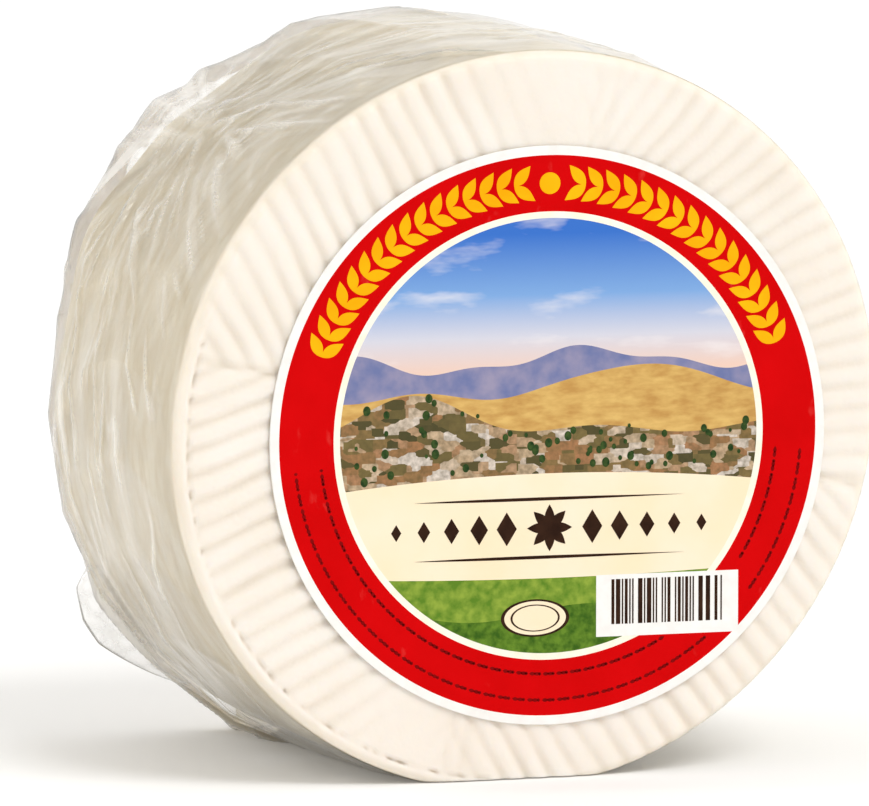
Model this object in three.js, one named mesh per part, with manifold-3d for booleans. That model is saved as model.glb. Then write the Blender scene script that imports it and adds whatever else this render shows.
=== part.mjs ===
// A drum of tender goat cheese standing on its edge: a thick white round with a ribbed face, sealed in
// clear film that clings to it all over, with a round paper label on the front.
// Millimetres, +Z up. The drum's axis runs along Y and the labelled face looks along -Y.
// Angles are measured in that face from +X towards +Z, and depths from the face's ribs towards +Y.
import * as THREE from 'three';
import { mergeVertices } from 'three/addons/utils/BufferGeometryUtils.js';
import Module from 'manifold-3d';

const turn = 2 * Math.PI;
const radians = THREE.MathUtils.degToRad;
const { lerp, smoothstep } = THREE.MathUtils;

// Driving sizes of the drum
const faceRadius = 78;
const drumDepth = 94;
const backGrowth = 0.04; // the back is wider than the front by this share
const ovalShare = 0.023; // soft cheese sets slightly out of round
const ovalAngle = radians(50);
const restLevel = -76; // the flat spot it stands on, below the axis
const frontRounding = 4;
const backRounding = 7;

// Ribs that the mould presses into the face, in four quarters. A quarter's ribs run along one angle
// and fan out from a point that lies its origin's distance behind the axis.
const ribPitch = 5.2;
const ribDepth = 0.9;
const ribQuarters = [
  { from: -12, to: 78, along: 16, origin: 37 },
  { from: 78, to: 168, along: 116, origin: 600 },
  { from: 168, to: 255, along: 203, origin: 250 },
  { from: 255, to: 348, along: 306, origin: 300 },
];
const wornPatches = [
  { middle: 87, reach: 14 },
  { middle: 248, reach: 22 },
];
const beadWidth = frontRounding - 0.6; // smooth bead along the rim
const beadGrooveWidth = 1.4; // groove between the bead and the ribs
const beadGrooveDepth = 0.7;

// Label
const labelRadius = 61.5;
const labelThickness = 0.4;
const labelGap = 0.3;
const labelOffset = new THREE.Vector2(4.1, -2.9); // the label sits a little off the middle
const labelSides = 96;
const hiddenMargin = 2; // the ribs run on this far under the label

// Film: pleats that fan out from a knot on the side, and a loose flap at the back edge.
// Each fan's pleats end at places spread evenly between its two angles and its two depths.
const knot = { angle: 133, depth: 60 };
const fans = [
  { pleats: 4, angles: [138, 114], depths: [91, 86], height: 3.6 },
  { pleats: 5, angles: [172, 150], depths: [86, 34], height: 1.3 },
  { pleats: 4, angles: [90, 114], depths: [80, 34], height: 1.2 },
];
const pleatThickness = 1.6;
const pleatRoot = 1.2; // how far a pleat's foot is sunk
const flap = { from: 203, to: 232, depth: 86, height: 7.5, thickness: 1.8 };
const blunt = 0.1; // share of the rise left off at each end of a pleat

// Fineness of the surface; the rings are shares of the radius or of the edge's rounding that they cross
const ribColumns = 280;
const ribRings = 7;
const sideColumns = ribColumns / 2;
const middleColumns = sideColumns / 2;
const underLabelShares = [0.6, 0.92];
const beadShares = [0.05, 0.2, 0.75];
const sideShares = [0.25, 0.5, 0.75];
const backEdgeShares = [1, 0.45, 0.12, 0];
const backShares = [0.86, 0.5];
const pleatSteps = 8;
const aheadStep = 0.01; // share of a pleat's length over which its direction is measured

function oval(angle) {
  return 1 + ovalShare * Math.cos(2 * (angle - ovalAngle));
}

// How far a quarter-round edge falls back at a given distance from its face
function edgeDrop(distance, rounding) {
  const inside = Math.max(rounding - distance, 0);
  return rounding - Math.sqrt(rounding ** 2 - inside ** 2);
}

function bareRadius(angle, depth) {
  const flare = 1 + (backGrowth * depth) / drumDepth;
  const edges = edgeDrop(depth, frontRounding) + edgeDrop(drumDepth - depth, backRounding);
  return faceRadius * oval(angle) * flare - edges;
}

// A point of the surface, flattened where the drum stands
function place(angle, radius, depth) {
  const height = Math.max(radius * Math.sin(angle), restLevel);
  return new THREE.Vector3(radius * Math.cos(angle), depth - drumDepth / 2, height);
}

function ring(columns, pointAt) {
  return Array.from({ length: columns }, (_, i) => pointAt((turn * i) / columns));
}

// Distance from the face's middle to the label's edge
function labelReach(angle) {
  const along = labelOffset.x * Math.cos(angle) + labelOffset.y * Math.sin(angle);
  return along + Math.sqrt(labelRadius ** 2 - labelOffset.lengthSq() + along ** 2);
}

function wear(degrees) {
  const left = wornPatches.map(({ middle, reach }) => smoothstep(Math.abs(degrees - middle), 0, reach));
  return Math.min(...left);
}

function ribGroove(angle, radius) {
  const whole = THREE.MathUtils.radToDeg(angle);
  const degrees = whole < ribQuarters[3].to ? whole : whole - 360;
  const { along, origin } = ribQuarters.find(({ from, to }) => degrees >= from && degrees < to);
  const lean = angle - radians(along);
  const fanAngle = Math.atan2(radius * Math.sin(lean), origin + radius * Math.cos(lean));
  const across = (origin + faceRadius) * fanAngle;
  const wave = 0.5 + 0.5 * Math.cos((turn * across) / ribPitch);
  return ribDepth * wear(degrees) * wave ** 2;
}

function beadInside(angle) {
  return faceRadius * oval(angle) - beadWidth;
}

function faceRings() {
  const under = (angle) => labelReach(angle) - hiddenMargin;
  const plain = (share) => (angle) => place(angle, share * under(angle), ribDepth / 2);
  const [inner, outer] = underLabelShares;
  const rings = [ring(middleColumns, plain(inner)), ring(sideColumns, plain(outer))];
  for (let i = 0; i < ribRings; i += 1) {
    const share = i / (ribRings - 1);
    rings.push(ring(ribColumns, (angle) => {
      const radius = lerp(under(angle), beadInside(angle) - beadGrooveWidth, share);
      return place(angle, radius, ribGroove(angle, radius));
    }));
  }
  const grooveRadius = (angle) => beadInside(angle) - beadGrooveWidth / 2;
  rings.push(ring(ribColumns, (angle) => place(angle, grooveRadius(angle), beadGrooveDepth)));
  return rings;
}

function sideRings() {
  const surface = (depth) => (angle) => place(angle, bareRadius(angle, depth), depth);
  const [crest, ...bead] = beadShares.map((share) => share * frontRounding);
  const side = sideShares.map((share) => share * drumDepth);
  const backEdge = backEdgeShares.map((share) => drumDepth - share * backRounding);
  const rest = [...bead, ...side, ...backEdge].map((depth) => ring(sideColumns, surface(depth)));
  return [ring(ribColumns, surface(crest)), ...rest];
}

function backRings() {
  const flat = (share) => (angle) => place(angle, share * bareRadius(angle, drumDepth), drumDepth);
  const [outer, inner] = backShares;
  return [ring(sideColumns, flat(outer)), ring(middleColumns, flat(inner))];
}

// Joins rings of points, each with as many, twice as many or half as many points as the one before
function skin(rings, first, last) {
  const points = [first];
  const starts = rings.map((around) => {
    points.push(...around);
    return points.length - around.length;
  });
  points.push(last);
  const faces = [];
  const at = (r, i) => starts[r] + (i % rings[r].length);
  rings[0].forEach((_, i) => faces.push(0, at(0, i), at(0, i + 1)));
  for (let r = 0; r + 1 < rings.length; r += 1) {
    const near = rings[r].length;
    const far = rings[r + 1].length;
    for (let i = 0; i < Math.min(near, far); i += 1) {
      if (near === far) {
        faces.push(at(r, i), at(r + 1, i), at(r, i + 1));
        faces.push(at(r, i + 1), at(r + 1, i), at(r + 1, i + 1));
      } else if (near < far) {
        faces.push(at(r, i), at(r + 1, 2 * i), at(r + 1, 2 * i + 1));
        faces.push(at(r, i), at(r + 1, 2 * i + 1), at(r, i + 1));
        faces.push(at(r, i + 1), at(r + 1, 2 * i + 1), at(r + 1, 2 * i + 2));
      } else {
        faces.push(at(r, 2 * i), at(r + 1, i), at(r, 2 * i + 1));
        faces.push(at(r, 2 * i + 1), at(r + 1, i), at(r + 1, i + 1));
        faces.push(at(r, 2 * i + 1), at(r + 1, i + 1), at(r, 2 * i + 2));
      }
    }
  }
  const end = rings.length - 1;
  rings[end].forEach((_, i) => faces.push(at(end, i), points.length - 1, at(end, i + 1)));
  return surfaceOf(points, faces);
}

function surfaceOf(points, faces) {
  const geometry = new THREE.BufferGeometry().setFromPoints(points);
  geometry.setIndex(faces);
  return geometry;
}

function drumGeometry() {
  const rings = [...faceRings(), ...sideRings(), ...backRings()];
  const half = drumDepth / 2;
  return skin(rings, new THREE.Vector3(0, ribDepth / 2 - half, 0), new THREE.Vector3(0, half, 0));
}

// A pinched fold of film that stands on the side along a line from one place to another
function pleatGeometry(start, finish, height, thickness) {
  const onSide = (share, lift) => {
    const angle = radians(lerp(start.angle, finish.angle, share));
    const depth = lerp(start.depth, finish.depth, share);
    return place(angle, bareRadius(angle, depth) + lift, depth);
  };
  const points = [];
  for (let i = 0; i <= pleatSteps; i += 1) {
    const share = i / pleatSteps;
    const foot = onSide(share, -pleatRoot);
    const top = onSide(share, height * Math.sin(Math.PI * lerp(blunt, 1 - blunt, share)));
    const outward = top.clone().sub(foot);
    const ahead = onSide(share + aheadStep, 0).sub(onSide(share - aheadStep, 0));
    const aside = new THREE.Vector3().crossVectors(ahead, outward).setLength(thickness / 2);
    points.push(foot.clone().add(aside), foot.clone().sub(aside), top);
  }
  const faces = [0, 2, 1];
  for (let i = 0; i < pleatSteps; i += 1) {
    for (let side = 0; side < 3; side += 1) {
      const a = 3 * i + side;
      const b = 3 * i + ((side + 1) % 3);
      faces.push(a, b, a + 3, b, b + 3, a + 3);
    }
  }
  const last = 3 * pleatSteps;
  faces.push(last, last + 1, last + 2);
  return surfaceOf(points, faces);
}

const wasm = await Module();
wasm.setup();

function solidOf(geometry) {
  const merged = mergeVertices(geometry);
  const vertProperties = new Float32Array(merged.attributes.position.array);
  const triVerts = new Uint32Array(merged.index.array);
  return new wasm.Manifold(new wasm.Mesh({ numProp: 3, vertProperties, triVerts }));
}

function geometryOf(solid) {
  const mesh = solid.getMesh();
  const geometry = new THREE.BufferGeometry();
  geometry.setAttribute('position', new THREE.BufferAttribute(mesh.vertProperties, 3));
  geometry.setIndex(new THREE.BufferAttribute(mesh.triVerts, 1));
  geometry.computeVertexNormals();
  return geometry;
}

function fanPleats({ pleats, angles, depths, height }) {
  return Array.from({ length: pleats }, (_, i) => {
    const share = i / (pleats - 1);
    const end = { angle: lerp(...angles, share), depth: lerp(...depths, share) };
    return pleatGeometry(knot, end, height, pleatThickness);
  });
}

function flapPleat() {
  const { from, to, depth, height, thickness } = flap;
  return pleatGeometry({ angle: from, depth }, { angle: to, depth }, height, thickness);
}

function wrappedCheese() {
  const pleats = [...fans.flatMap(fanPleats), flapPleat()];
  const solid = pleats.reduce((whole, pleat) => whole.add(solidOf(pleat)), solidOf(drumGeometry()));
  const material = new THREE.MeshStandardMaterial({ color: '#f1ead8', roughness: 0.4, metalness: 0 });
  const mesh = new THREE.Mesh(geometryOf(solid), material);
  mesh.name = 'wrapped_cheese';
  return mesh;
}

function label() {
  const geometry = new THREE.CylinderGeometry(labelRadius, labelRadius, labelThickness, labelSides);
  const material = new THREE.MeshStandardMaterial({ color: '#d9121a', roughness: 0.35, metalness: 0 });
  const mesh = new THREE.Mesh(geometry, material);
  mesh.name = 'label';
  mesh.position.set(labelOffset.x, -drumDepth / 2 - labelGap - labelThickness / 2, labelOffset.y);
  return mesh;
}

// The origin is on the ground under the middle of the whole piece
const cheese = new THREE.Group();
cheese.add(wrappedCheese(), label());
const reach = new THREE.Box3().setFromObject(cheese);
const middle = reach.getCenter(new THREE.Vector3());
cheese.position.set(-middle.x, -middle.y, -reach.min.z);
cheese.updateMatrixWorld(true);

export default cheese;
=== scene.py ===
import math
import random

import bpy
import numpy as np
from mathutils import Matrix, Vector, noise


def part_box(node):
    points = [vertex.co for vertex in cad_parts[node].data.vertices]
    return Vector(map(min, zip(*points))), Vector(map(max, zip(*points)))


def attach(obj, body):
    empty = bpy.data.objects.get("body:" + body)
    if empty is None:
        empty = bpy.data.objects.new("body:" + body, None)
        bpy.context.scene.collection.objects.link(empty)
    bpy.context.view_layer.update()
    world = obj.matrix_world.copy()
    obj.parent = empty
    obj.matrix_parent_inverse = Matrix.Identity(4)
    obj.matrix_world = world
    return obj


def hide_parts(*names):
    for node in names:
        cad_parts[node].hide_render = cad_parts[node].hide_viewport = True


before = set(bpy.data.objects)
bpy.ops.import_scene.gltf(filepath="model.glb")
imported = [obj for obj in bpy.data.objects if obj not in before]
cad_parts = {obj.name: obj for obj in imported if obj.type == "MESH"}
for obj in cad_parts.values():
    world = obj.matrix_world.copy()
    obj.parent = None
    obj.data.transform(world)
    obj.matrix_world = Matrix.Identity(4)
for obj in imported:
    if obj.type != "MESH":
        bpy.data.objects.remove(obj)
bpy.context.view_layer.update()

# A drum of tender goat cheese on its edge: ribbed cheese, clear clinging film and a round paper label.
# Shapes are worked out in millimetres in the drum's own terms, an angle round the axis from +X towards
# +Z, a radius from the axis and a depth behind the ribs' crests, and stored in metres.
MM = 0.001
DRUM_LOW, DRUM_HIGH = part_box("wrapped_cheese")
LABEL_LOW, LABEL_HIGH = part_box("label")
LABEL_OFFSET = (4.1, -2.9)
LABEL_RADIUS = (LABEL_HIGH.x - LABEL_LOW.x) / 2 / MM
LABEL_MIDDLE = (LABEL_LOW + LABEL_HIGH) / 2
DEPTH = (DRUM_HIGH.y - DRUM_LOW.y) / MM
AXIS_X = LABEL_MIDDLE.x - LABEL_OFFSET[0] * MM
AXIS_Z = LABEL_MIDDLE.z - LABEL_OFFSET[1] * MM
FACE_Y = DRUM_LOW.y

# Drum
FACE_RADIUS = 78.0
FILM_FLARE = 0.04
CHEESE_FLARE = 0.028
OVAL_SHARE = 0.023
OVAL_ANGLE = math.radians(50)
FRONT_ROUNDING = 2.2
BACK_ROUNDING = 7.0

# Ribs of the face in four quarters: where a quarter ends, which way its ribs run, how far behind the axis
# the point lies that they fan out from, and how bold they are
RIB_PITCH = 5.2
RIB_DEPTH = 1.15
RIB_SHARPNESS = 2.2
RIB_WANDER = 0.9
RIB_ENDS = (78, 168, 255, 348)
RIB_ALONG = (16, 116, 203, 306)
RIB_FAN = (37, 600, 250, 300)
RIB_BOLDNESS = (0.75, 1.0, 1.0, 0.85)
WORN_PATCHES = ((84, 22), (248, 22))
SEAM_DEPTH, SEAM_WIDTH = 0.54, 1.1

# The smooth bead along the rim at the left, and the groove inside it
BEAD_FROM, BEAD_TO = 162, 262
BEAD_GROOVE_MIDDLE, BEAD_GROOVE_WIDTH, BEAD_GROOVE_DEPTH = 0.5, 0.45, 1.0

# Film: its knot, its loose flap at the back edge, and how close it lies
KNOT_ANGLE = math.radians(133)
KNOT_DEPTH = 60.0
FLAP_FROM, FLAP_TO = math.radians(208), math.radians(233)
FLAP_DEPTH, FLAP_HEIGHT = 86.0, 7.2
FILM_CLEARANCE = 0.1
FILM_GAP, BACK_GAP = 0.35, 0.5
FILM_FLOOR, CHEESE_FLOOR = 0.05, 0.3

# Bulges of the side towards the back: angle, half width in degrees, and height of the film; the cheese
# follows them in part
BULGES = ((107, 12, 2.4), (134, 7, 1.6), (153, 11, 3.4), (78, 8, -1.3))
BULGE_RISE, BULGE_FALL = (35, 82), (98, 112)
CHEESE_FOLLOWS = 0.85

# Fineness
CHEESE_COLUMNS, FACE_RINGS, ROUNDING_RINGS, SIDE_RINGS, BACK_RINGS = 640, 34, 9, 44, 44
FILM_COLUMNS, FILM_FRONT_RINGS, FILM_SIDE_RINGS, FILM_EDGE_RINGS, FILM_BACK_RINGS = 560, 7, 112, 11, 40


def smooth(value, low, high):
    """A soft step from 0 at low to 1 at high."""
    share = np.clip((value - low) / (high - low), 0, 1)
    return share * share * (3 - 2 * share)


def ripple(x, y, z):
    """Smooth noise between -1 and 1 at each point."""
    x, y, z = np.broadcast_arrays(x, y, z)
    points = np.stack([x.ravel(), y.ravel(), z.ravel()], -1).tolist()
    return np.array([noise.noise(p) for p in points]).reshape(x.shape)


def crease(value, sharpness):
    """Thin ridges where the noise passes through zero."""
    return np.clip(1 - sharpness * np.abs(value), 0, 1) ** 1.5


def oval(angle):
    """The share of its round radius that the slightly oval drum has at an angle."""
    return 1 + OVAL_SHARE * np.cos(2 * (angle - OVAL_ANGLE))


def side_radius(angle, depth, flare):
    """Radius of the side, which widens towards the back by its flare."""
    return FACE_RADIUS * oval(angle) * (1 + flare * depth / DEPTH)


def patch(angle, along, middle, spread, rise, fall):
    """A soft patch of the side round an angle in degrees, between two distances from the rim."""
    aside = (np.degrees(angle) % 360 - middle) / spread
    return np.exp(-aside ** 2) * smooth(along, *rise) * (1 - smooth(along, *fall))


def bulge(angle, along):
    """Height of the side's bulges, by angle and by distance along the side from the rim."""
    total = 0
    for middle, wide, tall in BULGES:
        total = total + tall * patch(angle, along, middle, wide, BULGE_RISE, BULGE_FALL)
    return total


def place(angle, radius, depth, floor):
    """Points in metres, flattened where the drum stands."""
    x = AXIS_X + radius * np.cos(angle) * MM
    y = FACE_Y + depth * MM + np.zeros_like(angle)
    z = np.maximum(AXIS_Z + radius * np.sin(angle) * MM, floor * MM)
    return np.stack([x, y, z], -1)


def ring_faces(rows, columns, start=0, closed=True):
    """Quads between rings of points that run from the front's middle to the back's."""
    across = columns if closed else columns - 1
    row, column = np.meshgrid(np.arange(rows - 1), np.arange(across), indexing="ij")
    after = (column + 1) % columns
    quads = np.stack([row * columns + column, (row + 1) * columns + column,
                      (row + 1) * columns + after, row * columns + after], -1)
    return quads.reshape(-1, 4) + start


def new_object(name, points, faces, materials, slots=None, smooth_faces=True):
    """A mesh in the scene; slots gives each face its material."""
    mesh = bpy.data.meshes.new(name)
    mesh.from_pydata([tuple(p) for p in points], [], [tuple(int(i) for i in f) for f in faces])
    for material in materials:
        mesh.materials.append(material)
    if slots is not None:
        mesh.polygons.foreach_set("material_index", np.array(slots, dtype=np.int32))
    mesh.polygons.foreach_set("use_smooth", np.full(len(mesh.polygons), smooth_faces))
    mesh.validate()
    mesh.update()
    obj = bpy.data.objects.new(name, mesh)
    bpy.context.scene.collection.objects.link(obj)
    return obj


def set_values(obj, name, values):
    """One number for each point, for the material to read."""
    attribute = obj.data.attributes.new(name, "FLOAT", "POINT")
    attribute.data.foreach_set("value", np.asarray(values, dtype=np.float32))


NOISE_LOW, NOISE_HIGH = 0.3, 0.7


class Nodes:
    """Short forms for building a material's nodes."""

    def __init__(self, name):
        self.material = bpy.data.materials.new(name)
        self.material.use_nodes = True
        self.tree = self.material.node_tree
        self.tree.nodes.clear()

    def add(self, kind, inputs=None, **settings):
        node = self.tree.nodes.new(kind)
        for key, value in settings.items():
            setattr(node, key, value)
        for key, value in (inputs or {}).items():
            if isinstance(value, bpy.types.NodeSocket):
                self.tree.links.new(value, node.inputs[key])
            else:
                node.inputs[key].default_value = value
        return node

    def place(self, scale=(1, 1, 1)):
        """The surface's own coordinates in millimetres, stretched by a scale."""
        where = self.add("ShaderNodeTexCoord").outputs["Object"]
        scaled = tuple(s / MM for s in scale)
        return self.add("ShaderNodeMapping", {"Vector": where, "Scale": scaled}).outputs["Vector"]

    def noise(self, scale, detail=3.0, stretch=(1, 1, 1)):
        inputs = {"Vector": self.place(stretch), "Scale": scale, "Detail": detail}
        return self.add("ShaderNodeTexNoise", inputs).outputs["Fac"]

    def ramp(self, fac, stops):
        node = self.add("ShaderNodeValToRGB", {"Fac": fac})
        while len(node.color_ramp.elements) < len(stops):
            node.color_ramp.elements.new(0.5)
        for element, (position, colour) in zip(node.color_ramp.elements, stops):
            element.position = position
            element.color = (*colour, 1)
        return node.outputs["Color"]

    def shades(self, value, dark, light, spread):
        """From a dark to a light screen colour, within a spread of the middle of a noise."""
        return self.ramp(value, [(0.5 - spread, linear(*dark)), (0.5 + spread, linear(*light))])

    def maths(self, operation, a, b):
        return self.add("ShaderNodeMath", {0: a, 1: b}, operation=operation).outputs[0]

    def range(self, value, low, high, new_low, new_high):
        inputs = {"Value": value, "From Min": low, "From Max": high, "To Min": new_low, "To Max": new_high}
        return self.add("ShaderNodeMapRange", inputs).outputs["Result"]

    def between(self, value, low, high):
        """A noise's usual range, stretched from low to high."""
        return self.range(value, NOISE_LOW, NOISE_HIGH, low, high)

    def mix(self, share, low, high):
        return self.add("ShaderNodeMix", {0: share, 6: low, 7: high}, data_type="RGBA").outputs[2]

    def bump(self, height, distance, strength=1.0):
        inputs = {"Height": height, "Distance": distance * MM, "Strength": strength}
        return self.add("ShaderNodeBump", inputs).outputs["Normal"]

    def end(self, shader):
        output = self.add("ShaderNodeOutputMaterial")
        self.tree.links.new(shader, output.inputs["Surface"])
        return self.material


def linear(red, green, blue):
    """A colour given as it shows on screen, from 0 to 255, as the shader needs it."""
    def channel(value):
        value /= 255
        return value / 12.92 if value <= 0.04045 else ((value + 0.055) / 1.055) ** 2.4
    return channel(red), channel(green), channel(blue)


FACE_DARK, FACE_LIGHT = (245, 236, 225), (248, 240, 231)
# Painted shade: the side's colours are the cheese made darker and warmer, as where it gets less light
SHADED_SIDE_DARK, SHADED_SIDE_LIGHT = (222, 208, 176), (238, 229, 207)
# Painted shade: grooves, pits and notches take a darker, warmer colour, as where less light reaches
GROOVE_SHADE_COLOUR, GROOVE_SHADE_STRENGTH = (206, 192, 160), 0.38


def cheese_material():
    """Moist white cheese, with painted shade that darkens and warms its grooves and its side."""
    n = Nodes("cheese")
    face = n.shades(n.noise(0.045, 3), FACE_DARK, FACE_LIGHT, 0.15)
    side = n.shades(n.noise(0.11, 4, (1, 2.2, 1)), SHADED_SIDE_DARK, SHADED_SIDE_LIGHT, 0.15)
    # Painted shade in the grooves, the bead's pits and the rim's notches
    groove_shade = n.add("ShaderNodeAttribute", attribute_name="groove_shade").outputs["Fac"]
    # Painted shade on the side, the rim and the back
    side_shade = n.add("ShaderNodeAttribute", attribute_name="side_shade").outputs["Fac"]
    colour = n.mix(side_shade, face, side)
    colour = n.mix(n.maths("MULTIPLY", groove_shade, GROOVE_SHADE_STRENGTH), colour, (*linear(*GROOVE_SHADE_COLOUR), 1))
    fine = n.noise(1.1, 4)
    soft = n.noise(0.25, 2)
    height = n.maths("ADD", n.maths("MULTIPLY", fine, 0.25), soft)
    shader = n.add("ShaderNodeBsdfPrincipled", {
        "Base Color": colour,
        "Roughness": n.between(fine, 0.42, 0.6),
        "Normal": n.bump(height, 0.25),
        "Subsurface Weight": 0.5,
        "Subsurface Radius": (1.0, 0.88, 0.7),
        "Subsurface Scale": 2 * MM,
    })
    return n.end(shader.outputs["BSDF"])


FILM_MILK_LEAST, FILM_MILK_MOST = 0.04, 0.55
FILM_IOR = 1.48


def film_material():
    """Clear glossy film, milky along its creases, with painted highlights on some flats, that fades out
    where it clings to the rim.
    """
    n = Nodes("film")
    # The veil carries the creases' milk and the painted highlights on the flats
    veil = n.add("ShaderNodeAttribute", attribute_name="veil").outputs["Fac"]
    loose = n.add("ShaderNodeAttribute", attribute_name="loose").outputs["Fac"]
    milk_and_highlight = n.maths("MULTIPLY", loose, n.range(veil, 0, 1, FILM_MILK_LEAST, FILM_MILK_MOST))
    rough = n.between(n.noise(0.3, 3), 0.08, 0.2)
    clear = n.add("ShaderNodeBsdfTransparent", {"Color": (1, 1, 1, 1)})
    haze = n.add("ShaderNodeBsdfDiffuse", {"Color": (*linear(250, 248, 244), 1)})
    gloss = n.add("ShaderNodeBsdfGlossy", {"Color": (1, 1, 1, 1), "Roughness": rough})
    edge = n.maths("MULTIPLY", loose, n.add("ShaderNodeFresnel", {"IOR": FILM_IOR}).outputs["Fac"])
    body = n.add("ShaderNodeMixShader", {0: milk_and_highlight, 1: clear.outputs[0], 2: haze.outputs[0]})
    whole = n.add("ShaderNodeMixShader", {0: edge, 1: body.outputs[0], 2: gloss.outputs[0]})
    return n.end(whole.outputs[0])


PAPER_SHINE = 0.04
PAPER_ROUGHNESS = 0.36
PAPER_GRAIN, PAPER_RELIEF = 2.5, 0.01


def end_paper(n, colour, roughness, grained=True):
    """Printed paper of a colour, with the paper's grain where wanted."""
    inputs = {"Base Color": colour, "Roughness": roughness, "Specular IOR Level": PAPER_SHINE}
    if grained:
        inputs["Normal"] = n.bump(n.noise(PAPER_GRAIN, 2), PAPER_RELIEF)
    return n.end(n.add("ShaderNodeBsdfPrincipled", inputs).outputs["BSDF"])


def ink_material(name, dark, light, grain=0.35, stretch=(1, 1, 1)):
    """Printed paper whose colour wanders a little between two shades."""
    n = Nodes(name)
    colour = n.shades(n.noise(grain, 3, stretch), dark, light, 0.18)
    return end_paper(n, colour, n.between(n.noise(0.12, 2), PAPER_ROUGHNESS - 0.05, PAPER_ROUGHNESS + 0.08))


def red_material():
    """The label's red, with faint pale scuffs."""
    n = Nodes("label_red")
    base = n.shades(n.noise(0.08, 3), (206, 0, 2), (216, 2, 6), 0.2)
    scuff = n.range(n.noise(0.22, 6, (1, 1, 0.5)), 0.66, 0.74, 0, 0.35)
    colour = n.mix(scuff, base, (*linear(232, 80, 74), 1))
    return end_paper(n, colour, n.between(n.noise(0.15, 3), 0.28, 0.42))


def sky_material():
    """A blue sky that pales to peach at the horizon, with thin bands of cloud."""
    n = Nodes("label_sky")
    up = n.add("ShaderNodeSeparateXYZ", {0: n.place()}).outputs["Z"]
    middle = LABEL_MIDDLE.z / MM
    share = n.range(up, middle + HORIZON, middle + PICTURE_RADIUS, 0, 1)
    blue = n.ramp(share, [(0.0, linear(238, 206, 190)), (0.22, linear(214, 214, 226)),
                          (0.5, linear(128, 170, 224)), (0.9, linear(62, 116, 204))])
    cloud = n.range(n.noise(0.09, 4, (0.45, 1, 1.6)), 0.56, 0.74, 0, 0.75)
    colour = n.mix(cloud, blue, (*linear(246, 240, 240), 1))
    return end_paper(n, colour, PAPER_ROUGHNESS, grained=False)


def fields_material():
    """Small fields and walls side by side, pale, tan, russet and olive."""
    n = Nodes("label_fields")
    inputs = {"Vector": n.place((0.7, 1, 1.25)), "Scale": 0.42}
    cells = n.add("ShaderNodeTexVoronoi", inputs, distance="CHEBYCHEV").outputs["Color"]
    pick = n.add("ShaderNodeSeparateXYZ", {0: cells}).outputs["X"]
    field = n.ramp(pick, [(0.0, linear(74, 72, 46)), (0.25, linear(128, 112, 70)),
                          (0.45, linear(176, 126, 88)), (0.65, linear(206, 180, 148)),
                          (0.9, linear(228, 216, 204))])
    shade = n.between(n.noise(0.9, 3), 0.0, 0.6)
    colour = n.mix(shade, field, (*linear(92, 82, 54), 1))
    return end_paper(n, colour, PAPER_ROUGHNESS, grained=False)


FLOOR_GLOW = 0.08
FLOOR_DARK, FLOOR_LIGHT = 0.87, 0.89


def floor_material():
    """A white table that glows a little, so that shadows on it stay light."""
    n = Nodes("floor")
    dark, light = (FLOOR_DARK,) * 3, (FLOOR_LIGHT,) * 3
    colour = n.ramp(n.noise(0.004, 2), [(NOISE_LOW, dark), (NOISE_HIGH, light)])
    paper = n.add("ShaderNodeBsdfDiffuse", {"Color": colour})
    glow = n.add("ShaderNodeEmission", {"Color": (1, 0.985, 0.95, 1), "Strength": FLOOR_GLOW})
    return n.end(n.add("ShaderNodeAddShader", {0: paper.outputs[0], 1: glow.outputs[0]}).outputs[0])


# Cheese

def label_reach(angle):
    """Distance from the face's middle to the label's edge."""
    along = LABEL_OFFSET[0] * np.cos(angle) + LABEL_OFFSET[1] * np.sin(angle)
    return along + np.sqrt(LABEL_RADIUS ** 2 - LABEL_OFFSET[0] ** 2 - LABEL_OFFSET[1] ** 2 + along ** 2)


def mottle(x, z, size, seed):
    """Smooth noise over the face, with patches of a size."""
    return ripple(x / size, z / size, seed)


def rib_groove(angle, radius):
    """Depth of the grooves between the ribs, uneven from rib to rib and worn away in patches."""
    degrees = np.degrees(angle) % 360
    degrees = np.where(degrees >= RIB_ENDS[-1], degrees - 360, degrees)
    quarter = np.searchsorted(RIB_ENDS, degrees, side="right")
    lean = angle - np.radians(np.array(RIB_ALONG)[quarter])
    origin = np.array(RIB_FAN)[quarter]
    across = (origin + FACE_RADIUS) * np.arctan2(radius * np.sin(lean), origin + radius * np.cos(lean))
    x, z = radius * np.cos(angle), radius * np.sin(angle)
    across = across + RIB_WANDER * mottle(x, z, 15, quarter * 9.0)
    uneven = 0.8 + 0.35 * ripple(np.round(across / RIB_PITCH) * 0.73, quarter * 5.0, 3.0)
    uneven = (uneven + 0.3 * mottle(x, z, 9, 20.0)) * (0.7 + 0.5 * mottle(x, z, 22, 30.0))
    wave = 0.5 + 0.5 * np.cos(2 * np.pi * across / RIB_PITCH)
    wear = np.min([smooth(np.abs(degrees - middle), 0, wide) for middle, wide in WORN_PATCHES], axis=0)
    edges = [radius * np.abs(np.sin(angle - math.radians(end))) for end in RIB_ENDS]
    seam = SEAM_DEPTH * np.exp(-(np.min(edges, axis=0) / SEAM_WIDTH) ** 2)
    bold = np.array(RIB_BOLDNESS)[quarter]
    return wear * (RIB_DEPTH * bold * uneven * wave ** RIB_SHARPNESS + seam)


def bead_share(angle):
    """How far the rim is a smooth bead, as at the left, with the ribs stopping short of it."""
    degrees = np.degrees(angle) % 360
    return smooth(degrees, BEAD_FROM - 6, BEAD_FROM + 6) * (1 - smooth(degrees, BEAD_TO - 10, BEAD_TO + 10))


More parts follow.
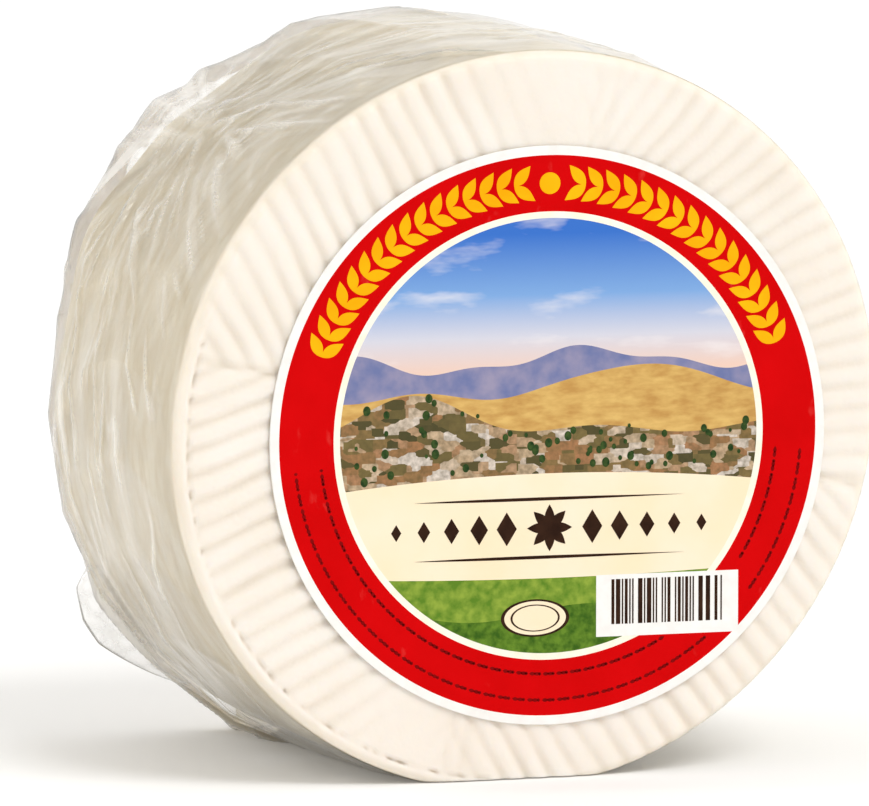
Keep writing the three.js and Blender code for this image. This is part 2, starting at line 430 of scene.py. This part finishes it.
def face_depth(angle, radius, bead_inside):
    """How far the face lies behind the ribs' crests, and how much painted shade its grooves get."""
    inward = bead_inside - radius
    x, z = radius * np.cos(angle), radius * np.sin(angle)
    pits = 0.35 + 1.6 * np.clip(mottle(x, z, 2.0, 41.0), -0.1, 0.6)
    bead = bead_share(angle)
    aside = (inward - BEAD_GROOVE_MIDDLE) / BEAD_GROOVE_WIDTH
    groove = BEAD_GROOVE_DEPTH * bead * pits * np.exp(-aside ** 2)
    ribs = rib_groove(angle, radius) * (1 - bead * (1 - smooth(inward, 0.2, 1.2)))
    dents = 0.35 * mottle(x, z, 18, 7.0)
    # The second value is painted shade for the grooves and the bead's pits
    return groove + ribs + dents * smooth(inward, 0, 6), np.clip((groove + ribs) / RIB_DEPTH, 0, 1)


# How far the face runs on under the label, the last ring's share of the back, how deep the grooves notch
# the rim, how much of the side's painted shade the rim and the back get, how strong the painted shade in the
# back's grooves is, and the radius that the side's dents are drawn at
LABEL_OVERLAP = 4
BACK_MIDDLE = 0.03
RIM_NOTCH = 0.7
RIM_SIDE_SHADE, BACK_SIDE_SHADE = 0.47, 0.15
BACK_GROOVE_SHADE = 0.7
DENT_RADIUS = 80


def cheese_rings():
    """Radius, depth, painted groove shade and painted side shade of every ring, from the front's middle to
    the back's.
    """
    angle = np.linspace(0, 2 * np.pi, CHEESE_COLUMNS, endpoint=False)
    front_inside = side_radius(angle, 0, CHEESE_FLARE) - FRONT_ROUNDING
    back = side_radius(angle, DEPTH, CHEESE_FLARE) + CHEESE_FOLLOWS * bulge(angle, DEPTH - BACK_ROUNDING)
    back_inside = back - BACK_ROUNDING - FILM_GAP
    back_depth = DEPTH - BACK_GAP
    under_label = label_reach(angle) - LABEL_OVERLAP
    rings = []
    for share in np.linspace(0, 1, FACE_RINGS):
        radius = under_label + (front_inside - under_label) * share
        depth, groove_shade = face_depth(angle, radius, front_inside)
        rings.append((radius, depth, groove_shade, 0.0))
    for turn in np.linspace(0, math.pi / 2, ROUNDING_RINGS)[1:]:
        radius = front_inside + FRONT_ROUNDING * math.sin(turn)
        notch = rib_groove(angle, radius) * (1 - bead_share(angle)) * math.cos(turn)
        depth = FRONT_ROUNDING * (1 - math.cos(turn)) + notch * math.cos(turn)
        side_shade = RIM_SIDE_SHADE * turn / (math.pi / 2)
        rings.append((radius - RIM_NOTCH * notch * math.sin(turn), depth, notch / RIB_DEPTH, side_shade))
    x, z = DENT_RADIUS * np.cos(angle), DENT_RADIUS * np.sin(angle)
    for depth in np.linspace(FRONT_ROUNDING, DEPTH - BACK_ROUNDING, SIDE_RINGS)[1:]:
        dents = 0.35 * ripple(x / 16, depth / 16, z / 16) + 0.12 * ripple(x / 5, depth / 5, z / 5)
        fade = smooth(depth, FRONT_ROUNDING, FRONT_ROUNDING + 4)
        radius = side_radius(angle, depth, CHEESE_FLARE) + (dents - FILM_GAP) * fade
        radius = radius + CHEESE_FOLLOWS * bulge(angle, depth)
        rings.append((radius, depth, 0.0, RIM_SIDE_SHADE + (1 - RIM_SIDE_SHADE) * fade))
    for turn in np.linspace(0, math.pi / 2, ROUNDING_RINGS)[1:]:
        radius = back - BACK_ROUNDING * (1 - math.cos(turn)) - FILM_GAP
        rings.append((radius, back_depth - BACK_ROUNDING * (1 - math.sin(turn)), 0.0, 1.0))
    for share in np.linspace(1, BACK_MIDDLE, BACK_RINGS)[1:]:
        radius = back_inside * share
        depth, groove_shade = face_depth(angle, radius, back_inside)
        rings.append((radius, back_depth - depth, BACK_GROOVE_SHADE * groove_shade, BACK_SIDE_SHADE))
    return angle, rings


def make_cheese():
    angle, rings = cheese_rings()
    points = np.concatenate([place(angle, radius, depth, CHEESE_FLOOR) for radius, depth, _, _ in rings])
    groove_shade = np.concatenate([groove_shade + 0 * angle for _, _, groove_shade, _ in rings] + [[0, 0]])
    side_shade = np.concatenate([side_shade + 0 * angle for _, _, _, side_shade in rings] + [[0, 0.5]])
    front_middle, back_middle = len(points), len(points) + 1
    ends = np.array([(AXIS_X, FACE_Y + depth * MM, AXIS_Z) for depth in (RIB_DEPTH, DEPTH - 2 * BACK_GAP)])
    faces = ring_faces(len(rings), CHEESE_COLUMNS).tolist()
    last = (len(rings) - 1) * CHEESE_COLUMNS
    for i in range(CHEESE_COLUMNS):
        after = (i + 1) % CHEESE_COLUMNS
        faces.append((front_middle, i, after))
        faces.append((last + i, back_middle, last + after))
    cheese = new_object("cheese", np.concatenate([points, ends]), faces, [cheese_material()])
    # Painted shade for the grooves, read by the cheese's material
    set_values(cheese, "groove_shade", groove_shade)
    # Painted shade for the side, the rim and the back, read by the cheese's material
    set_values(cheese, "side_shade", side_shade)
    return cheese


# Film

# Main folds of the film: angle and distance from the rim at both ends, height, and width to each side
FOLDS = (
    (131, 128, 133, 58, 4.0, 16.0), (116, 124, 131, 60, 3.0, 14.0), (147, 124, 136, 60, 3.0, 14.0),
    (138, 88, 135, 54, 2.8, 5.0), (124, 88, 133, 57, 2.8, 4.5), (129, 84, 133, 64, 3.6, 4.0),
    (132, 48, 135, 30, 1.4, 1.6), (136, 42, 148, 7, 0.9, 1.2), (132, 50, 124, 6, 0.9, 1.2),
    (126, 49, 119, 14, 0.9, 1.2), (139, 69, 156, 62, 1.2, 1.5), (145, 67, 155, 65, 0.9, 1.2),
    (149, 60, 162, 41, 1.0, 1.3), (110, 27, 94, 4, 1.0, 1.3), (118, 40, 104, 30, 0.8, 1.2),
    (209, 90, 228, 79, 2.0, 4.0), (226, 84, 252, 62, 1.6, 3.0), (236, 92, 262, 74, 2.2, 4.0),
    (158, 76, 190, 70, 0.7, 1.4), (165, 58, 196, 52, 0.6, 1.2), (186, 84, 214, 80, 0.8, 1.6),
    (133, 58, 127, 70, 2.2, 2.6), (133, 58, 125, 61, 1.8, 2.4), (133, 58, 128, 47, 1.8, 2.2),
    (133, 58, 141, 61, 2.0, 2.6), (133, 58, 140, 49, 1.8, 2.2), (133, 58, 132, 72, 2.4, 2.6),
    (20, 60, 52, 84, 0.9, 2.0), (310, 50, 346, 70, 0.9, 2.0),
)

# Painted highlights, white on the film's flats: angle and distance from the rim at both ends, and half width
PAINTED_HIGHLIGHTS = ((152, 92, 139, 79, 2.6), (206, 90, 226, 79, 2.2), (126, 92, 129, 78, 1.6), (232, 86, 252, 66, 1.4))
CREST_WIDTH, CREST_MILK, HIGHLIGHT_WHITENESS = 1.9, 0.6, 1.2


def line_distance(angle, along, angle_a, along_a, angle_b, along_b):
    """Distance from a line on the unrolled film, and the share of the way along it."""
    arc = math.radians(1) * FACE_RADIUS
    across, onward = (np.degrees(angle) % 360 - angle_a) * arc, along - along_a
    run, rise = (angle_b - angle_a) * arc, along_b - along_a
    share = np.clip((across * run + onward * rise) / (run * run + rise * rise), 0, 1)
    return np.hypot(across - share * run, onward - share * rise), share


def fold_height(angle, along):
    """Straight folds, each a ridge with flat sides, how milky the crests are, and painted highlights on the
    flats.
    """
    height, milk_and_highlight = np.zeros_like(angle), np.zeros_like(angle)
    for *line, tall, wide in FOLDS:
        distance, share = line_distance(angle, along, *line)
        taper = np.sin(math.pi * (0.12 + 0.76 * share))
        height = np.maximum(height, tall * taper * np.clip(1 - distance / wide, 0, 1))
        milk_and_highlight = np.maximum(milk_and_highlight, CREST_MILK * taper * np.clip(1 - distance / CREST_WIDTH, 0, 1))
    # Painted highlights: white strips where a stretched flat would catch a lamp
    for *line, wide in PAINTED_HIGHLIGHTS:
        distance, share = line_distance(angle, along, *line)
        taper = np.sin(math.pi * (0.1 + 0.8 * share))
        milk_and_highlight = np.maximum(milk_and_highlight, HIGHLIGHT_WHITENESS * taper * smooth(-distance, -wide, -0.5 * wide))
    return height, milk_and_highlight


# How tightly the pleats are drawn together at the knot, how far round from it they spread, and how soon
# they stop widening
KNOT_PINCH, PLEAT_REACH, PLEAT_EASE = 0.12, 75, 40
FACETS = 24

# Height and milkiness of the film's creases
FILM_SLACK = 0.35
BROAD_HEIGHT, STREAK_HEIGHT, LINE_HEIGHT, FINE_HEIGHT = 0.3, 0.12, 0.4, 0.22
STREAK_MILK, LINE_MILK, FINE_MILK, CRUMPLE_MILK = 0.3, 0.75, 0.5, 0.3

# Where the film is crumpled beside the knot and where it sags near the floor: angle, spread, rise and fall
CRUMPLE = (129, 11, (56, 80), (94, 106))
SAG, SAG_HEIGHT = (245, 14, (25, 60), (94, 104)), 0.8


def film_lift(angle, along):
    """How far the film stands off, and how milky it is with painted highlights, by angle and by distance
    along it from the rim.
    """
    around = (angle - KNOT_ANGLE + math.pi) % (2 * math.pi) - math.pi
    sideways = FACE_RADIUS * around
    x, z = np.cos(angle), np.sin(angle)
    spread = KNOT_PINCH + (1 - KNOT_PINCH) * smooth(np.abs(sideways), 0, PLEAT_REACH)
    fan = (along - KNOT_DEPTH) / spread
    fan = np.sign(fan) * PLEAT_EASE * np.log1p(np.abs(fan) / PLEAT_EASE)
    lines = crease(ripple(fan / 9, 2 * x, 2 * z), 8)
    lines = lines * smooth(ripple(along / 14, 4 * x, 4 * z + 7), -0.05, 0.35)
    fine = crease(ripple(fan / 4.5, 3.2 * x + 8, 3.2 * z), 5)
    fine = fine * smooth(ripple(along / 9, 5 * x + 2, 5 * z), 0, 0.4)
    streaks = ripple(fan / 5, 1.6 * x + 4, 1.6 * z)
    broad = ripple(fan / 16, 2.2 * x, 2.2 * z + 5)
    creases = BROAD_HEIGHT * broad + STREAK_HEIGHT * streaks + LINE_HEIGHT * lines + FINE_HEIGHT * fine
    away = smooth(along, 2, 20)
    side = 2 * np.pi / FACETS
    facet = ((angle + 0.15 * np.sin(along / 25)) % side) - side / 2
    folds, fold_milk_and_highlight = fold_height(angle, along)
    lift = FILM_CLEARANCE + away * (FILM_SLACK + creases + FACE_RADIUS * (1 / np.cos(facet) - 1)) + folds
    crumple = patch(angle, along, *CRUMPLE)
    lift = lift + crumple * (0.5 + 0.5 * ripple(sideways / 13, along / 13, 3.0))
    lift = lift + SAG_HEIGHT * patch(angle, along, *SAG)
    lift = np.maximum(lift + bulge(angle, along), FILM_CLEARANCE)
    veil = away * (LINE_MILK * lines + FINE_MILK * fine + STREAK_MILK * smooth(streaks, 0, 0.5))
    return lift, np.clip(veil + CRUMPLE_MILK * crumple + fold_milk_and_highlight, 0, 1)


def film_path():
    """Steps of the film's line over the rim, side and back edge: inset from the side, depth and lean."""
    steps = []
    for turn in np.linspace(math.radians(35), math.pi / 2, FILM_FRONT_RINGS):
        steps.append((-FRONT_ROUNDING * (1 - math.sin(turn)), FRONT_ROUNDING * (1 - math.cos(turn)), turn))
    for depth in np.linspace(FRONT_ROUNDING, DEPTH - BACK_ROUNDING, FILM_SIDE_RINGS)[1:]:
        steps.append((0.0, depth, math.pi / 2))
    for turn in np.linspace(0, math.pi / 2, FILM_EDGE_RINGS)[1:]:
        inset = -BACK_ROUNDING * (1 - math.cos(turn))
        steps.append((inset, DEPTH - BACK_ROUNDING * (1 - math.sin(turn)), math.pi / 2 + turn))
    return steps


# Length over which the film comes loose from the rim, the share of its lift that it keeps on the back, and
# the height and milkiness of the back's middle
LOOSE_LENGTH = 5
BACK_LIFT = 0.8
BACK_MIDDLE_LIFT, BACK_MIDDLE_VEIL = 0.4, 0.2


def film_rings(angle):
    """Radius, depth, milkiness and looseness of every ring of the film, from the rim to the back."""
    rings = []
    length, before = 0.0, None
    for inset, depth, lean in film_path():
        radius = side_radius(angle, depth, FILM_FLARE) + inset
        here = np.array((float(np.mean(radius)), depth))
        if before is not None:
            length += float(np.linalg.norm(here - before))
        before = here
        lift, veil = film_lift(angle, length + 0 * angle)
        loose = smooth(length + 0 * angle, 0, LOOSE_LENGTH)
        rings.append((radius + lift * math.sin(lean), depth - lift * math.cos(lean), veil, loose))
    edge = side_radius(angle, DEPTH, FILM_FLARE) - BACK_ROUNDING
    for share in np.linspace(1, 0.02, FILM_BACK_RINGS)[1:]:
        lift, veil = film_lift(angle, length + (1 - share) * FACE_RADIUS + 0 * angle)
        rings.append((edge * share, DEPTH + lift * BACK_LIFT, veil, np.ones(FILM_COLUMNS)))
    return rings


def make_film():
    angle = np.linspace(0, 2 * np.pi, FILM_COLUMNS, endpoint=False)
    rings = film_rings(angle)
    points = np.concatenate([place(angle, radius, depth, FILM_FLOOR) for radius, depth, _, _ in rings])
    veils, looses = [veil for _, _, veil, _ in rings], [loose for _, _, _, loose in rings]
    middle = np.array([(AXIS_X, FACE_Y + (DEPTH + BACK_MIDDLE_LIFT) * MM, AXIS_Z)])
    faces = ring_faces(len(rings), FILM_COLUMNS).tolist()
    last = (len(rings) - 1) * FILM_COLUMNS
    faces += [(last + i, len(points), last + (i + 1) % FILM_COLUMNS) for i in range(FILM_COLUMNS)]
    points = np.concatenate([points, middle])
    flap_points, flap_faces, flap_veil = film_flap(len(points))
    points = np.concatenate([points, flap_points])
    film = new_object("film", points, faces + flap_faces, [film_material()])
    set_values(film, "veil", np.concatenate([*veils, [BACK_MIDDLE_VEIL], flap_veil]))
    set_values(film, "loose", np.concatenate([*looses, [1.0], np.ones(len(flap_veil))]))
    return film


# The flap's outline, as shares along it and of its height, how far it is rooted in the film, how wide its
# foot is, how far it leans and waves, and how milky it is
FLAP_SHARES, FLAP_RISE = (0, 0.08, 0.25, 0.42, 0.75, 1), (0, 0.65, 1, 1, 0.45, 0)
FLAP_ROOT, FLAP_FOOT, FLAP_LEAN, FLAP_WAVE = 0.6, 3, 3.5, 0.7
FLAP_VEIL, FLAP_CREASE_VEIL = 0.25, 0.3
FLAP_COLUMNS, FLAP_ROWS = 41, 17


def film_flap(start):
    """The loose ear of film at the back edge, folded over on itself."""
    along = np.linspace(0, 1, FLAP_COLUMNS)
    rows = np.linspace(-1, 1, FLAP_ROWS)
    angle = FLAP_FROM + (FLAP_TO - FLAP_FROM) * along
    rise = FLAP_HEIGHT * np.interp(along, FLAP_SHARES, FLAP_RISE)
    points, veil = [], []
    for row in rows:
        share = 1 - abs(row)
        wave = FLAP_WAVE * np.sin(along * 11 + 2 * share) * share
        depth = FLAP_DEPTH + row * FLAP_FOOT * (1 - share) + FLAP_LEAN * share + wave
        radius = side_radius(angle, FLAP_DEPTH, FILM_FLARE) - FLAP_ROOT + (rise + FLAP_ROOT) * share
        points.append(place(angle, radius, depth, FILM_FLOOR))
        creases = crease(ripple(along * 7, share * 2 + 0 * along, 4.0), 3)
        veil.append(FLAP_VEIL + FLAP_CREASE_VEIL * creases)
    faces = ring_faces(len(rows), len(along), start, closed=False).tolist()
    return np.concatenate(points), faces, np.concatenate(veil)


# Label

PICTURE_RADIUS = 46.2
PALE_RADIUS = 47.6
RED_RADIUS = 59.5
HORIZON = 14.0
INK = 0.03
PAPER_EDGE = 0.1
RING_POINTS, PICTURE_COLUMNS = 256, 200
PANEL_LOW, PANEL_HIGH = (10.4, -43.2), (42.2, -30.0)
BORDER, RED, PALE, SKY, FAR, MIDDLE, NEAR, BAND, MEADOW, GRASS, YELLOW, BROWN, TREE, DARK_RED = range(14)


def label_materials():
    return [
        ink_material("label_white", (244, 242, 238), (251, 250, 247)),
        red_material(),
        ink_material("label_pale", (250, 244, 222), (253, 250, 238)),
        sky_material(),
        ink_material("label_far_hills", (112, 122, 168), (156, 150, 178), 0.2),
        ink_material("label_middle_hills", (196, 150, 84), (224, 186, 112), 0.35, stretch=(0.6, 1, 1.6)),
        fields_material(),
        ink_material("label_band", (251, 233, 198), (253, 238, 212), 0.06),
        ink_material("label_meadow", (92, 132, 40), (146, 170, 66), 0.5),
        ink_material("label_grass", (58, 96, 28), (104, 140, 46), 0.6),
        ink_material("label_yellow", (248, 172, 8), (254, 190, 16), 0.1),
        ink_material("label_brown", (44, 26, 18), (60, 38, 26), 0.3),
        ink_material("label_trees", (34, 58, 30), (66, 88, 44), 0.8),
        ink_material("label_dark_red", (118, 6, 8), (140, 10, 12), 0.4),
    ]


class Print:
    """Points and faces on the label's front, in millimetres from its middle, each face with its ink."""

    def __init__(self):
        self.points, self.faces, self.slots = [], [], []

    def add(self, points, faces, slot):
        start = len(self.points)
        for x, z, height in points:
            place_x, place_z = LABEL_MIDDLE.x + x * MM, LABEL_MIDDLE.z + z * MM
            self.points.append((place_x, LABEL_LOW.y - height * MM, place_z))
        self.faces += [tuple(start + i for i in face) for face in faces]
        self.slots += [slot] * len(faces)

    def plate(self, outline, slot, level=1):
        """A closed thin shape of ink or paper; its outline runs anticlockwise."""
        count = len(outline)
        points = [(x, z, -INK / 2) for x, z in outline] + [(x, z, INK * level) for x, z in outline]
        sides = [(i, (i + 1) % count, count + (i + 1) % count, count + i) for i in range(count)]
        faces = [tuple(range(count, 2 * count)), tuple(reversed(range(count)))] + sides
        self.add(points, faces, slot)


def circle(radius, count):
    return [(radius * math.cos(2 * math.pi * i / count), radius * math.sin(2 * math.pi * i / count))
            for i in range(count)]


def label_rings(label):
    """The paper disc with its white border, red ring and pale line."""
    count = RING_POINTS
    thickness = (LABEL_HIGH.y - LABEL_LOW.y) / MM
    radii = [PICTURE_RADIUS, PALE_RADIUS, RED_RADIUS, LABEL_RADIUS - PAPER_EDGE]
    for inner, outer, slot in zip(radii, radii[1:], (PALE, RED, BORDER)):
        points = [(x, z, 0) for x, z in circle(inner, count)] + [(x, z, 0) for x, z in circle(outer, count)]
        faces = [(i, count + i, count + (i + 1) % count, (i + 1) % count) for i in range(count)]
        label.add(points, faces, slot)
    rim = [(x, z, 0) for x, z in circle(radii[-1], count)]
    rim += [(x, z, -PAPER_EDGE) for x, z in circle(LABEL_RADIUS, count)]
    rim += [(x, z, -thickness) for x, z in circle(LABEL_RADIUS, count)]
    faces = []
    for row in range(2):
        here, below = row * count, (row + 1) * count
        for i in range(count):
            after = (i + 1) % count
            faces.append((here + i, below + i, below + after, here + after))
    faces.append(tuple(2 * count + i for i in reversed(range(count))))
    label.add(rim, faces, BORDER)


def picture_lines(x):
    """Heights of the picture's lines at x, from the bottom up, each with the ink above it."""
    arch = 1 - (x / PICTURE_RADIUS) ** 2
    return [
        (-LABEL_RADIUS, GRASS),
        (-37.5 + 1.6 * math.sin(x / 8 + 0.5), MEADOW),
        (-29.0 - 1.2 * arch, BAND),
        (-10.5 + 2.6 * arch, NEAR),
        (1.0 + 7.5 * math.exp(-((x + 30) / 17) ** 2) + 1.0 * math.sin(x / 6.5), MIDDLE),
        (9.0 + 6.5 * math.exp(-((x - 20) / 15) ** 2) + 0.9 * math.sin(x / 5 + 1), FAR),
        (HORIZON + 2.2 + 2.2 * math.sin(x / 9.5 + 0.7) + 0.8 * math.sin(x / 3.7), SKY),
        (LABEL_RADIUS, SKY),
    ]


def label_picture(label):
    """A plain landscape of hills with a bare band across it, cut to the round window."""
    columns = []
    for i in range(PICTURE_COLUMNS + 1):
        x = -PICTURE_RADIUS * math.cos(math.pi * i / PICTURE_COLUMNS)
        limit = math.sqrt(max(PICTURE_RADIUS ** 2 - x * x, 0))
        heights, floor = [], -limit
        for height, _ in picture_lines(x):
            floor = min(max(height, floor), limit)
            heights.append(floor)
        columns.append((x, heights))
    inks = [ink for _, ink in picture_lines(0)]
    for (x0, left), (x1, right) in zip(columns, columns[1:]):
        for k in range(len(inks) - 1):
            corners = [(x0, left[k]), (x1, right[k]), (x1, right[k + 1]), (x0, left[k + 1])]
            corners = [c for i, c in enumerate(corners) if math.dist(c, corners[i - 1]) > 1e-6]
            if len(corners) > 2:
                label.add([(x, z, 0) for x, z in corners], [tuple(range(len(corners)))], inks[k])


def leaf(length, width, x, z, turn, count=14):
    """A pointed leaf from its foot at x, z, pointing along turn."""
    shares = [i / count for i in range(count + 1)]
    side = [(length * share, width / 2 * math.sin(math.pi * share ** 0.85)) for share in shares]
    outline = [(a, -b) for a, b in side] + [(a, b) for a, b in reversed(side[1:-1])]
    c, s = math.cos(turn), math.sin(turn)
    return [(x + a * c - b * s, z + a * s + b * c) for a, b in outline]


GARLAND_LEAVES, GARLAND_START, GARLAND_STEP = 16, 70, 4.1
GARLAND_LEAF, GARLAND_LEAN = (5.6, 2.5), math.radians(42)


def label_garland(label):
    """Two leafy branches along the red ring that meet at the top."""
    radius = (PALE_RADIUS + RED_RADIUS) / 2
    for side in (-1, 1):
        for i in range(GARLAND_LEAVES):
            angle = math.radians(90 + side * (GARLAND_START - GARLAND_STEP * i))
            along = angle - side * math.pi / 2
            x, z = radius * math.cos(angle), radius * math.sin(angle)
            for lean in (-1, 1):
                level = 1 + 0.05 * (i % 2) + 0.02 * lean
                label.plate(leaf(*GARLAND_LEAF, x, z, along + lean * GARLAND_LEAN), YELLOW, level)
    label.plate([(x, radius + z) for x, z in circle(2.3, 32)], YELLOW)


DASH_ROWS, DASHES, DASH_START, DASH_SWEEP = (50.6, 56.2), 150, 186, 168
DASH_LONG, DASH_SHORT, DASH_WIDTH = 1.5, 0.7, 0.8


def label_dashes(label):
    """Two fine rows of dark dashes round the lower part of the red ring, clear of the panel."""
    for radius in DASH_ROWS:
        for i in range(DASHES):
            angle = math.radians(DASH_START + DASH_SWEEP * i / (DASHES - 1))
            long = DASH_LONG if i % 3 else DASH_SHORT
            x, z = radius * math.cos(angle), radius * math.sin(angle)
            beside = PANEL_LOW[0] - 2 < x < PANEL_HIGH[0] + 2
            level_with = PANEL_LOW[1] - 1 < z < PANEL_HIGH[1] + 2
            if not (beside and level_with):
                label.plate(leaf(long, DASH_WIDTH, x, z, angle + math.pi / 2, 4), DARK_RED)


ORNAMENT_MIDDLE, ORNAMENT_HALF = -19.5, 6.2
PETALS, PETAL = 8, (5.0, 2.2)
LOZENGES, LOZENGE_FIRST, LOZENGE_STEP = 5, 9.5, 6.1
RULE_LENGTH, RULE_WIDTH = 60, 0.7


def label_band_ornament(label):
    """A brown divider on the pale band: a rosette, lozenges and tapering rules."""
    middle = ORNAMENT_MIDDLE
    for i in range(PETALS):
        label.plate(leaf(*PETAL, 0, middle, 2 * math.pi * i / PETALS, 10), BROWN, 1 + 0.05 * i)
    for side in (-1, 1):
        for i in range(LOZENGES):
            tall = 3.6 - 0.45 * i
            wide = 0.62 * tall
            x = side * (LOZENGE_FIRST + LOZENGE_STEP * i)
            lozenge = [(x + wide, middle), (x, middle + tall), (x - wide, middle), (x, middle - tall)]
            label.plate(lozenge, BROWN)
    for z in (middle + ORNAMENT_HALF, middle - ORNAMENT_HALF):
        label.plate(leaf(RULE_LENGTH, RULE_WIDTH, -RULE_LENGTH / 2, z, 0, 30), BROWN)


BAR_UNIT, BAR_WIDTHS = 0.33, (1, 1, 2, 3)
BAR_MARGIN, BAR_FOOT, BAR_HEAD = 3.4, 2.6, 1.0


def rectangle(left, low, right, high):
    return [(left, low), (right, low), (right, high), (left, high)]


def label_panel(label):
    """A white panel of plain bars."""
    draw = random.Random(7)
    (left, low), (right, high) = PANEL_LOW, PANEL_HIGH
    label.plate(rectangle(left, low, right, high), BORDER)
    x = left + BAR_MARGIN
    while x < right - BAR_MARGIN:
        width = BAR_UNIT * draw.choice(BAR_WIDTHS)
        label.plate(rectangle(x, low + BAR_FOOT, x + width, high - BAR_HEAD), BROWN, 2)
        x += width + BAR_UNIT * draw.choice(BAR_WIDTHS)


BADGE_MIDDLE, BADGE_HALF = (-3.2, -38.6), (7.6, 4.0)


def label_badge(label):
    """A small plain oval badge."""
    for size, slot, level in ((1.0, BROWN, 1), (0.9, BAND, 2), (0.72, BROWN, 3), (0.66, BAND, 4)):
        wide, tall = BADGE_HALF[0] * size, BADGE_HALF[1] * size
        outline = [(BADGE_MIDDLE[0] + wide * x, BADGE_MIDDLE[1] + tall * z) for x, z in circle(1, 64)]
        label.plate(outline, slot, level)


TREES = 70


def label_trees(label):
    """Small dark trees scattered over the fields."""
    draw = random.Random(11)
    for i in range(TREES):
        x = draw.uniform(-44, 44)
        lines = [height for height, _ in picture_lines(x)]
        z = draw.uniform(lines[3] + 1.2, lines[4] + 0.6)
        size = draw.uniform(0.35, 0.85)
        if math.hypot(x, z) < PICTURE_RADIUS - 2:
            label.plate([(x + size * a, z + 1.25 * size * b) for a, b in circle(1, 14)], TREE, 1 + 0.02 * i)


def make_label():
    label = Print()
    label_rings(label)
    label_picture(label)
    label_trees(label)
    label_garland(label)
    label_dashes(label)
    label_band_ornament(label)
    label_panel(label)
    label_badge(label)
    return new_object("label_print", label.points, label.faces, label_materials(), label.slots, False)


# Stage, light and camera

FLOOR_HALF = 6.0


def make_floor():
    size = FLOOR_HALF
    corners = [(-size, -size, 0), (size, -size, 0), (size, size, 0), (-size, size, 0)]
    return new_object("floor", corners, [(0, 1, 2, 3)], [floor_material()])


def add_area(name, place_from, target, size, power, colour=(1, 1, 1)):
    data = bpy.data.lights.new(name, "AREA")
    data.shape = "RECTANGLE"
    data.size, data.size_y = size
    data.energy = power
    data.color = colour
    light = bpy.data.objects.new(name, data)
    light.location = place_from
    light.rotation_euler = (Vector(target) - Vector(place_from)).to_track_quat("-Z", "Y").to_euler()
    bpy.context.scene.collection.objects.link(light)


def add_sun(name, towards, strength, spread):
    data = bpy.data.lights.new(name, "SUN")
    data.energy = strength
    data.angle = math.radians(spread)
    light = bpy.data.objects.new(name, data)
    light.rotation_euler = Vector(towards).to_track_quat("-Z", "Y").to_euler()
    bpy.context.scene.collection.objects.link(light)


# The room's light: towards its dim side, where it starts and ends to dim, and its strength at both ends
DIM_SIDE = (-0.6, -0.8, 0.0)
DIM_FROM, DIM_TO = -0.3, 0.7
ROOM_BRIGHT, ROOM_DIM = 1.03, 0.48
ROOM_COLOUR = (1, 0.985, 0.955, 1)


def light_scene():
    """A bright room, dim at the front left, with a soft key light from above and two weak lights at left."""
    world = bpy.data.worlds.new("studio")
    bpy.context.scene.world = world
    world.use_nodes = True
    tree = world.node_tree
    where = tree.nodes.new("ShaderNodeTexCoord")
    facing = tree.nodes.new("ShaderNodeVectorMath")
    facing.operation = "DOT_PRODUCT"
    facing.inputs[1].default_value = DIM_SIDE
    shade = tree.nodes.new("ShaderNodeMapRange")
    limits = {"From Min": DIM_FROM, "From Max": DIM_TO, "To Min": ROOM_BRIGHT, "To Max": ROOM_DIM}
    for key, value in limits.items():
        shade.inputs[key].default_value = value
    tree.links.new(where.outputs["Generated"], facing.inputs[0])
    tree.links.new(facing.outputs["Value"], shade.inputs["Value"])
    tree.links.new(shade.outputs["Result"], tree.nodes["Background"].inputs["Strength"])
    tree.nodes["Background"].inputs["Color"].default_value = ROOM_COLOUR
    add_sun("key", towards=(-0.25, 0.57, -0.78), strength=1.3, spread=26)
    add_area("fill_left", place_from=(-0.9, -0.3, 0.06), target=(-0.07, 0.0, 0.04), size=(0.6, 0.5),
             power=0.45, colour=(1, 0.95, 0.84))
    add_area("strip_left", place_from=(-0.7, 0.1, 0.5), target=(-0.06, 0.03, 0.1), size=(0.08, 0.5),
             power=1.2)
    bpy.context.scene.view_settings.view_transform = "Standard"


# The photograph's frame, 869 by 806 pixels, and where the face's middle lies in it
FRAME_WIDTH, FRAME_HEIGHT = 869, 806
FACE_PIXEL = (530.2, 422.7)
FOCAL_PIXELS = 9000
CAMERA_DISTANCE = 1.8986
CAMERA_AZIMUTH, CAMERA_ELEVATION = math.radians(-17.29), math.radians(6.25)
SENSOR = 36.0


def make_camera():
    """A long lens, placed so that the face's middle falls on its pixel."""
    a, e = CAMERA_AZIMUTH, CAMERA_ELEVATION
    back = Vector((math.sin(a) * math.cos(e), -math.cos(a) * math.cos(e), math.sin(e)))
    right = (-back).cross(Vector((0, 0, 1))).normalized()
    up = right.cross(-back)
    aside = (FACE_PIXEL[0] - FRAME_WIDTH / 2) / FOCAL_PIXELS * CAMERA_DISTANCE
    above = (FRAME_HEIGHT / 2 - FACE_PIXEL[1]) / FOCAL_PIXELS * CAMERA_DISTANCE
    face = Vector((AXIS_X, FACE_Y, AXIS_Z))
    data = bpy.data.cameras.new("camera")
    data.sensor_width = SENSOR
    data.lens = FOCAL_PIXELS / FRAME_WIDTH * SENSOR
    data.clip_end = 50
    camera = bpy.data.objects.new("camera", data)
    turn = Matrix((right, up, back)).transposed().to_4x4()
    where = face + back * CAMERA_DISTANCE - right * aside - up * above
    camera.matrix_world = Matrix.Translation(where) @ turn
    bpy.context.scene.collection.objects.link(camera)
    bpy.context.scene.camera = camera


make_camera()
light_scene()
make_floor()

cheese = make_cheese()
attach(cheese, "root")
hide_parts("wrapped_cheese")

film = make_film()
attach(film, "root")
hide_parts("wrapped_cheese")

label = make_label()
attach(label, "root")
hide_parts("label")
